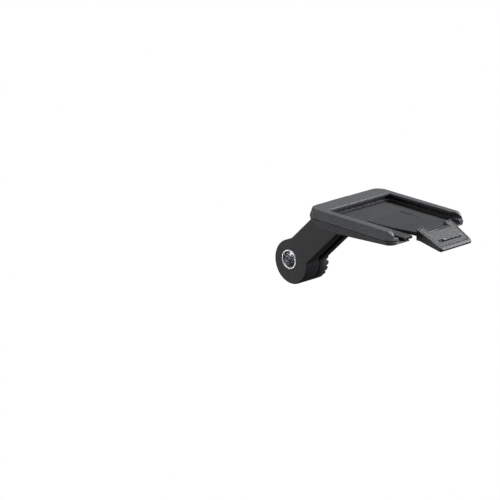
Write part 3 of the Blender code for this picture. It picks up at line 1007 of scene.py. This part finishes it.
@dataclass(frozen=True)
class Cradle(Assembly):
    """The cradle: a rim with two undercut rails, the floor and the wedge-shaped shell under them."""

    half: float = 15.72
    front: float = 36.4
    back_corner: float = 3.4
    front_corner: float = 2.4
    corner_share: float = 0.6
    flare: float = 1.25
    crease: float = -2.29
    edge_ease: float = 0.24
    edge_angle: float = 38.0
    rim_bottom: float = -2.8
    rim_back: float = 6.5
    end_radius: float = 3.1
    end_facets: int = 9
    lip: float = 13.5
    lip_ease: float = 0.12
    bay_corner: float = 0.9
    groove: float = 14.6
    groove_back: float = 5.6
    groove_top: float = -0.75
    groove_floor: float = -1.9
    groove_corner: float = 1.2
    pocket: tuple[Point, Point] = ((2.6, -4.6, -5.0), (5.2, 4.6, -1.2))
    entry: tuple[float, float, float] = (30.6, 35.0, 38.0)
    entry_corner: float = 6.0
    shell_top: float = -2.86
    shell_front: float = 36.32
    shell_loft: tuple[float, float] = (-10.0, 1.0)
    taper: float = 0.2
    heel_high: tuple[float, float] = (0.46, -1.91)
    heel_low: tuple[float, float] = (4.88, -6.2)
    heel_corner: float = 1.0
    nose_low: float = -3.95
    nose_corner: float = 0.4
    gutter_floor: float = -3.45
    cavity_top: float = -2.0
    cavity_front: float = 34.6
    cavity_half: float = 10.6
    heel_wall: float = 1.5
    heel_skin: float = 1.0
    nose_skin: float = 0.65
    window_back: float = 23.0
    window_half: float = 8.7
    dock_hole: float = 1.0
    dock_hole_near: float = 27.0
    panel_at: float = 15.0
    panel_back: float = -6.2
    panel_half: float = 5.6
    panel_corner: float = 1.4
    panel_depth: float = 0.16
    ejectors: tuple[tuple[float, float], ...] = ((-3.8, 12.9), (14.0, 12.4))
    ejector: float = 0.9
    ejector_depth: float = 0.07
    floor_top: float = -2.29
    floor_under: float = -3.15
    floor_half: float = 11.3
    floor_back: float = 7.3
    floor_front: float = 36.5
    floor_corners: tuple[float, float] = (0.6, 0.5)
    floor_ease: float = 0.12
    slot: float = 0.5
    slot_back: float = 0.3
    screws: tuple[float, float] = (10.0, 20.0)
    screw_side: float = 9.0
    screw_hole: float = 0.8
    screw_sink: float = 1.6
    sink_depth: float = 0.4
    head_rise: tuple[float, float] = (0.08, 0.38)
    boss: float = 1.3
    boss_lows: tuple[float, float] = (-4.6, -3.95)
    boss_high: float = -2.8
    boss_hole_high: float = -2.7

    def walls(self, front: float, low: float, high: float, grow_low: float, grow_high: float) -> Form:
        """The plan outline of the cradle extruded, with side walls that lean.

        Args:
            front: x of the front.
            low: height of the lower end.
            high: height of the upper end.
            grow_low: how far the lower end stands outside the rim.
            grow_high: how far the upper end does.

        Returns:
            A closed form.
        """
        half = self.half + grow_low
        corner = self.front_corner + self.corner_share * grow_low
        plan = [
            (0.0, -half, self.back_corner), (front, -half, corner),
            (front, half, corner), (0.0, half, self.back_corner),
        ]
        made = prism(plan, Axis.UP, low, high, 10)
        lean(made, high, (self.half + grow_high) / half)
        return made

    def bay(self, back: float, half: float, radius: float) -> list[Corner]:
        """Plan outline of a pocket that is open at the front."""
        return [(back, -half, radius), (PAST, -half, 0.0), (PAST, half, 0.0), (back, half, radius)]

    def heel(self, height: float, inward: float = 0.0) -> float:
        """The x of the sloping heel at a height."""
        x, start = self.heel_high
        return x + (start - height) * math.tan(RISE) + inward / math.cos(RISE)

    def under(self, x: float) -> float:
        """Height of the underside at x."""
        share = (x - self.heel_low[0]) / (self.shell_front - self.heel_low[0])
        return self.heel_low[1] + (self.nose_low - self.heel_low[1]) * share

    def build(self) -> None:
        """Builds the rim, the shell, the floor and their screws."""
        self.build_rim()
        self.build_shell()
        self.build_floor()
        self.build_screws()

    def build_rim(self) -> None:
        """U-shaped rim: a wide back wall and two rails with lips over a groove."""
        rim = self.walls(self.front, self.rim_bottom, 0.0, self.flare, self.flare)
        score(rim, (0.0, 0.0, self.crease), (0.0, 0.0, 1.0))
        lean(rim, 0.0, self.half / (self.half + self.flare))
        self.round_ends(rim)
        slice_off(rim, (self.heel(0.0), 0.0, 0.0), (-math.cos(RISE), 0.0, -math.sin(RISE)))
        blank = Blank(eased(rim, self.edge_ease, 3, self.edge_angle))
        blank.cut(self.lipped_bay())
        groove = self.bay(self.groove_back, self.groove, self.groove_corner)
        blank.cut(prism(groove, Axis.UP, self.groove_floor, self.groove_top))
        blank.cut(block(*self.pocket))
        start, bend, end = self.entry
        for _, side in SIDES:
            inside, outside = side * (self.lip - ABOVE), side * (self.groove + self.flare)
            entry = [
                (start, inside, 0.0), (end, inside, 0.0), (end, outside, 0.0),
                (bend, side * self.groove, self.entry_corner),
            ]
            blank.cut(prism(entry, Axis.UP, self.groove_floor, ABOVE, 10))
        self.deliver("cradle_rim", blank, Slot.CRADLE, ["cradle_frame"], Body.ARM, DOCK)

    def round_ends(self, rim: Form) -> None:
        """Rounds the top of the rail ends with slices that follow a quarter circle.

        Args:
            rim: the rim, which this changes.
        """
        middle = self.front - self.end_radius
        for index in range(self.end_facets):
            angle = math.radians(90.0 * (index + 0.5) / self.end_facets)
            ray = (math.cos(angle), 0.0, math.sin(angle))
            point = (middle + self.end_radius * ray[0], 0.0, -self.end_radius + self.end_radius * ray[2])
            slice_off(rim, point, ray)

    def lipped_bay(self) -> Form:
        """Makes the cutter of the bay, which widens above the eased edge of the lips.

        Returns:
            A closed form.
        """
        bay = prism(self.bay(self.rim_back, self.lip, self.bay_corner), Axis.UP, -PAST, ABOVE)
        score(bay, (0.0, 0.0, -self.lip_ease), (0.0, 0.0, 1.0))
        spread = ABOVE + self.lip_ease
        lean(bay, ABOVE, (self.lip + spread) / self.lip)
        back = [vert for vert in bay.verts if vert.co.z > 0.0 and vert.co.x < self.front]
        bmesh.ops.translate(bay, verts=back, vec=(-spread, 0.0, 0.0))
        return bay

    def build_shell(self) -> None:
        """Wedge-shaped shell with a sloping heel for the arm and a window under the tongue."""
        outline = [
            (self.heel(self.shell_top), self.shell_top, 0.0), (self.shell_front, self.shell_top, 0.0),
            (self.shell_front, self.nose_low, self.nose_corner), (*self.heel_low, self.heel_corner),
        ]
        wedge = Blank(prism(outline, Axis.ACROSS, -PAST, PAST, 6))
        growth = [self.flare + self.taper * (height - self.shell_top) for height in self.shell_loft]
        wedge.work(Step.KEEP, self.walls(self.shell_front, *self.shell_loft, *growth))
        form = wedge.form()
        bmesh.ops.remove_doubles(form, verts=form.verts, dist=HAIR)
        blank = Blank(eased(form, self.edge_ease, 3, self.edge_angle, self.shell_top - HAIR))
        blank.cut(block((self.rim_back, -self.lip, self.gutter_floor), (PAST, self.lip, 0.0)))
        low, high, front = self.heel_low[1] + self.heel_skin, self.cavity_top, self.cavity_front
        cavity = [
            (self.heel(high, self.heel_wall), high, 0.0), (self.heel(low, self.heel_wall), low, 0.0),
            (front, self.under(front) + self.nose_skin, 0.0), (front, high, 0.0),
        ]
        blank.cut(prism(cavity, Axis.ACROSS, -self.cavity_half, self.cavity_half))
        window = self.bay(self.window_back, self.window_half, self.groove_corner)
        blank.cut(prism(window, Axis.UP, -PAST, ABOVE))
        arm = Arm(self.palette)
        for _, side in SIDES:
            form, place = arm.dock_hole(side, self.dock_hole, self.dock_hole_near, 40)
            blank.cut(form, DOCK.inverted() @ ARM_FRAME @ place)
            for x in self.screws:
                blank.cut(turned(self.screw_well(x), 48), moved_by((x, side * self.screw_side, 0.0)))
        self.mark_underside(blank)
        self.deliver("under_shell", blank, Slot.SHELL, ["base_shell"], Body.ARM, DOCK)

    def screw_well(self, x: float) -> list[tuple[float, float]]:
        """Profile of a screw hole at x with its sink."""
        sunk, wide, slim = self.under(x) + self.sink_depth, self.screw_sink, self.screw_hole
        return [(0.0, -PAST), (wide, -PAST), (wide, sunk), (slim, sunk), (slim, 0.0), (0.0, 0.0)]

    def mark_underside(self, blank: Blank) -> None:
        """Adds what the mould leaves on the underside: a shallow panel and ejector marks.

        Args:
            blank: the shell, which this changes.
        """
        rise, run = self.nose_low - self.heel_low[1], self.shell_front - self.heel_low[0]
        slope = math.degrees(math.atan2(rise, run))
        lay = moved_by((self.panel_at, 0.0, self.under(self.panel_at))) @ turned_by("Y", -slope)
        back, half, corner = self.panel_back, self.panel_half, self.panel_corner
        panel = [(back, -half, corner), (half, -half, corner), (half, half, corner), (back, half, corner)]
        blank.cut(prism(panel, Axis.UP, -ABOVE, self.panel_depth, 6), lay)
        for x, y in self.ejectors:
            for _, side in SIDES:
                place = lay @ moved_by((x, side * y, 0.0))
                blank.cut(rod(self.ejector, -ABOVE, self.ejector_depth, 40), place)

    def build_floor(self) -> None:
        """Floor plate with the opening for the tongue and screw bosses below."""
        back, front, half = self.floor_back, self.floor_front, self.floor_half
        at_back, at_front = self.floor_corners
        outline = [
            (back, -half, at_back), (front, -half, at_front), (front, half, at_front), (back, half, at_back),
        ]
        blank = Blank(eased(prism(outline, Axis.UP, self.floor_under, self.floor_top, 6), self.floor_ease))
        opening = self.bay(Latch.root - self.slot_back, Latch.half + self.slot, 0.0)
        blank.cut(prism(opening, Axis.UP, -PAST, ABOVE))
        for _, side in SIDES:
            for x, low in zip(self.screws, self.boss_lows):
                place = moved_by((x, side * self.screw_side, 0.0))
                blank.join(rod(self.boss, low, self.boss_high, 40), place)
                blank.cut(rod(self.screw_hole, -PAST, self.boss_hole_high, 32), place)
        self.deliver("cradle_floor", blank, Slot.FLOOR, ["floor_plate"], Body.ARM, DOCK)

    def build_screws(self) -> None:
        """Four short screws that hold the floor on the shell, from below."""
        kit = Fasteners(self.palette)
        flip = turned_by("X", 180.0)
        for end, x in zip(("back", "front"), self.screws):
            crown, seat = (-(self.under(x) + rise) for rise in self.head_rise)
            size = ScrewSize(shank=0.6, tip=2.95, seat=seat, head=1.35, crown=crown, key=0.62, socket=0.35)
            for label, side in SIDES:
                name = f"shell_screw_{end}_{label}"
                place = DOCK @ moved_by((x, side * self.screw_side, 0.0)) @ flip
                self.deliver(name + "_oxide", kit.screw(size), Slot.OXIDE, [name], Body.ARM, place)


@dataclass(frozen=True)
class Latch(Assembly):
    """Spring tongue that ends in a wedge-shaped tab with two catch shoulders."""

    root: float = 17.2
    half: float = 7.12
    tongue_top: tuple[tuple[float, float], ...] = (
        (16.9, -2.29), (22.0, -2.25), (27.0, -2.05), (31.0, -1.72), (36.0, -1.25), (39.6, -0.95),
    )
    tongue_low: tuple[tuple[float, float], ...] = (
        (39.6, -2.30), (36.0, -2.40), (31.0, -2.75), (22.0, -3.15), (16.9, -3.15),
    )
    bends: int = 14
    bend_start: float = 0.4
    bend_pitch: float = 0.6
    bend_span: tuple[float, float] = (-0.2, 8.0)
    bend_height: float = -2.7
    tab: tuple[Corner, ...] = (
        (38.0, 0.1, 0.0), (47.3, -3.94, 0.0), (48.4, -4.6, 0.5), (47.3, -5.25, 0.0),
        (43.5, -4.42, 0.0), (39.4, -3.52, 0.0), (38.0, -3.5, 0.0),
    )
    tab_back: float = 38.0
    tab_top: float = 0.1
    tab_slope: float = 23.5
    tab_half_back: float = 7.6
    tab_half_front: float = 6.8
    tab_tip: float = 48.4
    tab_corner: float = 1.9
    tab_ease: float = 0.16
    tab_angle: float = 38.0
    gap_half: float = 4.6
    gap_back: float = 36.9
    gap_front: float = 40.2
    gap_floor: tuple[float, float] = (-1.18, -0.88)
    plate_thickness: float = 0.6
    plate_bed: float = 0.3
    plate_edge: float = 0.45
    plate_ease: float = 0.07
    seam: float = 0.16
    plate_back: float = 0.5
    plate_front: float = 9.6
    plate_corner: float = 0.2
    plate_tip_corner: float = 1.3
    ridge_at: float = 7.4
    ridge_width: float = 1.0
    ridge_span: tuple[float, float] = (-3.3, 4.7)
    ridge_low: float = -0.55
    ridge_high: float = 0.62
    ridge_ease: float = 0.08
    ribs: int = 9
    notch: float = 0.32
    notch_depth: float = 0.22
    pit_y: float = -4.35
    pit: tuple[float, float] = (0.24, 0.55)
    pit_floor: float = -0.4

    def build(self) -> None:
        """Builds the tongue, the thumb plate and the grip ridge."""
        self.build_tongue()
        self.build_plate()
        self.build_ridge()

    def on_tab(self) -> Matrix:
        """The frame in the plane of the tab: x runs down the slope, z is square to it."""
        return moved_by((self.tab_back, 0.0, self.tab_top)) @ turned_by("Y", self.tab_slope)

    def build_tongue(self) -> None:
        """Tongue and wedge in one, with the catch shoulders and the pocket of the thumb plate."""
        side = [(x, z, 0.0) for x, z in (*self.tongue_top, *self.tongue_low)]
        form = prism(side, Axis.ACROSS, -self.half, self.half)
        for index in range(self.bends):
            place = (self.root + self.bend_start + self.bend_pitch * index, 0.0, 0.0)
            score(form, place, (1.0, 0.0, 0.0))
        tab = Blank(prism(self.tab, Axis.ACROSS, -PAST, PAST, 4))
        tab.work(Step.KEEP, prism(self.tab_plan(), Axis.UP, -PAST, PAST, 10))
        blank = Blank(form)
        blank.join(eased(tab.form(), self.tab_ease, 3, self.tab_angle))
        back, front = self.gap_back, self.gap_front
        at_back, at_front = self.gap_floor
        gap = [(back, at_back, 0.0), (back, ABOVE, 0.0), (front, ABOVE, 0.0), (front, at_front, 0.0)]
        blank.cut(prism(gap, Axis.ACROSS, -self.gap_half, self.gap_half))
        bed = -self.plate_thickness - self.plate_bed
        blank.cut(prism(self.plate_plan(self.seam), Axis.UP, bed, ABOVE, 5), self.on_tab())
        piece = self.deliver("spring_tongue", blank, Slot.LATCH, ["latch_tongue"], None, DOCK)
        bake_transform(piece)

    def tab_plan(self) -> list[Corner]:
        """Plan outline of the tab."""
        return [
            (self.tab_back, -self.tab_half_back, 0.0), (self.tab_tip, -self.tab_half_front, self.tab_corner),
            (self.tab_tip, self.tab_half_front, self.tab_corner), (self.tab_back, self.tab_half_back, 0.0),
        ]

    def plate_plan(self, grow: float) -> list[Corner]:
        """Draws the thumb plate in the plane of the tab, notched between the shoulders.

        Args:
            grow: how far the outline stands outside the plate.

        Returns:
            The outline.
        """
        back, front = self.plate_back - grow, self.plate_front + grow
        half_back = self.tab_half_back - self.plate_edge - self.seam + grow
        half_front = self.tab_half_front - self.plate_edge - self.seam + grow
        notch = self.gap_half + self.plate_edge - grow
        along = (self.gap_front - self.tab_back) / math.cos(math.radians(self.tab_slope))
        deep = along + self.plate_edge - grow
        small, large = self.plate_corner, self.plate_tip_corner
        return [
            (back, -half_back, small), (front, -half_front, large),
            (front, half_front, large), (back, half_back, small),
            (back, notch, small), (deep, notch, small), (deep, -notch, small), (back, -notch, small),
        ]

    def build_plate(self) -> None:
        """Thin plate let into the tab, with a slot for the ridge and a ring-shaped pit."""
        plate = prism(self.plate_plan(0.0), Axis.UP, -self.plate_thickness, 0.0, 5)
        blank = Blank(eased(plate, self.plate_ease, 2))
        (x_low, y_low, _), (x_high, y_high, _) = self.ridge_box(HAIR)
        blank.cut(block((x_low, y_low, -ABOVE), (x_high, y_high, ABOVE)))
        inner, outer = self.pit
        ring = [(inner, self.pit_floor), (outer, self.pit_floor), (outer, ABOVE), (inner, ABOVE)]
        blank.cut(turned(ring, 32, closed=True), moved_by((self.ridge_at, self.pit_y, 0.0)))
        self.deliver("thumb_pad", blank, Slot.THUMB, ["thumb_plate"], Body.LATCH, DOCK @ self.on_tab())

    def ridge_box(self, clearance: float) -> tuple[Point, Point]:
        """Measures the ridge.

        Args:
            clearance: how far the box stands off its sides.

        Returns:
            Lowest and highest corner, in the plane of the tab.
        """
        half = self.ridge_width / 2 + clearance
        low = (self.ridge_at - half, self.ridge_span[0] - clearance, self.ridge_low)
        return low, (self.ridge_at + half, self.ridge_span[1] + clearance, self.ridge_high)

    def build_ridge(self) -> None:
        """Grip ridge, notched into ribs."""
        low, high = self.ridge_box(0.0)
        blank = Blank(eased(block(low, high), self.ridge_ease, 3))
        pitch = (high[1] - low[1] - self.notch) / self.ribs
        floor = self.ridge_high - self.notch_depth
        for index in range(1, self.ribs):
            start = low[1] + pitch * index
            end = (high[0] + ABOVE, start + self.notch, high[2] + ABOVE)
            blank.cut(block((low[0] - ABOVE, start, floor), end))
        self.deliver("ribbed_grip", blank, Slot.RIDGE, ["grip_ridge"], Body.LATCH, DOCK @ self.on_tab())


# --------------------------------------------------------------------------------------------- studio


@dataclass(frozen=True)
class Lamp:
    """A soft area light that looks at the dock."""

    name: str
    azimuth: float
    elevation: float
    size: float
    power: float
    distance: float = 0.9


@dataclass(frozen=True)
class Studio:
    """Camera, floor and soft light, in metres."""

    aim: Point = (0.0335, 0.0, 0.012)
    camera_place: Point = (0.60556, -0.60796, 0.28394)
    azimuth: float = 44.065
    elevation: float = 18.193
    roll: float = 0.6156
    lens: float = 203.76
    sensor: float = 36.0
    clip: tuple[float, float] = (0.01, 100.0)
    floor_height: float = -0.6
    room: float = 3.0
    paper: float = 1.0
    sky_low: float = 0.08
    sky_high: float = 0.36
    sky_colour: Colour = (0.96, 0.98, 1.0)
    sky_side: Point = (0.25, 0.1, 1.0)
    lamps: tuple[Lamp, ...] = (
        Lamp("front_softbox", 58.0, 50.0, 0.5, 19.0),
        Lamp("low_softbox", 6.0, 12.5, 0.14, 3.6),
        Lamp("top_softbox", -80.0, 76.0, 0.6, 4.4),
        Lamp("near_softbox", -142.0, -4.0, 0.6, 4.0),
    )

    def build(self) -> None:
        """Sets up the studio."""
        self.build_camera()
        self.build_backdrop()
        self.build_sky()
        for lamp in self.lamps:
            self.build_lamp(lamp)

    def build_camera(self) -> None:
        """Places the camera, looking back along +X and a little down."""
        data = bpy.data.cameras.new("camera")
        data.lens = self.lens
        data.sensor_width = self.sensor
        data.clip_start, data.clip_end = self.clip
        camera = bpy.data.objects.new("camera", data)
        turn = turned_by("Z", 90.0 - self.azimuth) @ turned_by("X", 90.0 - self.elevation)
        camera.matrix_world = moved_by(self.camera_place) @ turn @ turned_by("Z", self.roll)
        bpy.context.scene.collection.objects.link(camera)
        bpy.context.scene.camera = camera

    def build_backdrop(self) -> None:
        """A wide plain floor, well below the dock, which hangs in the air as on a stem, and a round wall."""
        paper = self.white_paper()
        floor = bmesh.new()
        bmesh.ops.create_grid(floor, x_segments=1, y_segments=1, size=self.room)
        bmesh.ops.translate(floor, verts=floor.verts, vec=(0.0, 0.0, self.floor_height))
        self.set_up("floor", floor, paper)
        wall = bmesh.new()
        bmesh.ops.create_icosphere(wall, subdivisions=4, radius=self.room)
        bmesh.ops.reverse_faces(wall, faces=wall.faces)
        self.set_up("wall", wall, paper)

    def white_paper(self) -> bpy.types.Material:
        """Makes evenly lit white paper.

        Returns:
            The material.
        """
        paper = bpy.data.materials.new("studio_paper")
        paper.use_nodes = True
        graph = Graph(paper.node_tree)
        sockets = {"Color": rgba((1.0, 1.0, 1.0)), "Strength": self.paper}
        surface = graph.node("ShaderNodeEmission", {}, sockets)
        graph.add("ShaderNodeOutputMaterial", {}, {"Surface": surface})
        return paper

    def set_up(self, name: str, form: Form, paper: bpy.types.Material) -> None:
        """Adds a piece of the studio that only the camera sees.

        Args:
            name: what it is called.
            form: its shape, which this uses up.
            paper: its material.
        """
        mesh = bpy.data.meshes.new(name)
        form.to_mesh(mesh)
        form.free()
        mesh.materials.append(paper)
        made = bpy.data.objects.new(name, mesh)
        bpy.context.scene.collection.objects.link(made)
        made.visible_diffuse = made.visible_glossy = made.visible_shadow = False

    def build_sky(self) -> None:
        """Soft light from all round, brighter from above."""
        world = bpy.data.worlds.new("studio")
        world.use_nodes = True
        graph = Graph(world.node_tree)
        place = graph.node("ShaderNodeTexCoord", {}, {}, "Generated")
        above = Vector(self.sky_side).normalized()
        settings = {"operation": "DOT_PRODUCT"}
        facing = graph.node("ShaderNodeVectorMath", settings, {0: place, 1: above}, "Value")
        strength = self.sky_low + graph.ramp(facing, low=-0.3, high=1.0) * self.sky_high
        sky = graph.node("ShaderNodeBackground", {}, {"Color": rgba(self.sky_colour), "Strength": strength})
        graph.add("ShaderNodeOutputWorld", {}, {"Surface": sky})
        bpy.context.scene.world = world
        bpy.context.scene.view_settings.view_transform = "Standard"

    def build_lamp(self, lamp: Lamp) -> None:
        """Places an area light.

        Args:
            lamp: its place, size and power.
        """
        data = bpy.data.lights.new(lamp.name, "AREA")
        data.energy = lamp.power
        data.shape = "SQUARE"
        data.size = lamp.size
        made = bpy.data.objects.new(lamp.name, data)
        turn, rise = math.radians(lamp.azimuth), math.radians(lamp.elevation)
        ray = Vector((math.cos(turn) * math.cos(rise), math.sin(turn) * math.cos(rise), math.sin(rise)))
        facing = ray.to_track_quat("Z", "Y").to_matrix().to_4x4()
        made.matrix_world = moved_by(Vector(self.aim) + ray * lamp.distance) @ facing
        bpy.context.scene.collection.objects.link(made)


GREY = (0.0285, 0.0298, 0.0335)
CHARCOAL = (0.0105, 0.0109, 0.0127)
FINISHES = (
    MouldedPlastic(Slot.CRADLE, GREY, 0.54, grain=0.42, depth=0.035),
    MouldedPlastic(Slot.SHELL, GREY, 0.54, grain=0.42, depth=0.035),
    MouldedPlastic(Slot.FLOOR, (0.0115, 0.0122, 0.0132), 0.56, grain=0.42, depth=0.035),
    MouldedPlastic(Slot.LATCH, (0.0105, 0.0112, 0.0127), 0.54, grain=0.42, depth=0.035),
    MouldedPlastic(Slot.THUMB, (0.0086, 0.0092, 0.011), 0.56, grain=0.42, depth=0.04),
    MouldedPlastic(Slot.RIDGE, (0.06, 0.0625, 0.069), 0.42, depth=0.006),
    MouldedPlastic(Slot.ARM, CHARCOAL, 0.58, grain=0.3, depth=0.02, specular=0.32),
    MouldedPlastic(Slot.CHEEK, CHARCOAL, 0.56, grain=0.3, depth=0.02, specular=0.32),
    MouldedPlastic(Slot.RING, (0.03, 0.032, 0.036), 0.36, grain=0.2, depth=0.006),
    TurnedMetal(Slot.SLEEVE, (0.50, 0.51, 0.53), 0.34, mark_stretch=(1.0, 0.1, 1.0)),
    TurnedMetal(Slot.ZINC, (0.56, 0.57, 0.60), 0.32),
    TurnedMetal(Slot.BRASS, (0.72, 0.52, 0.24), 0.34),
    TurnedMetal(Slot.OXIDE, (0.09, 0.09, 0.10), 0.40),
)


def main() -> None:
    """Builds the dock and its studio."""
    logging.basicConfig(level=logging.INFO, format="%(message)s")
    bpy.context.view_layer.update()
    palette = Palette({finish.slot: finish.material() for finish in FINISHES})
    for assembly in (Pivot, Arm, Cradle, Latch):
        assembly(palette).build()
    Studio().build()


if __name__ == "__main__":
    main()
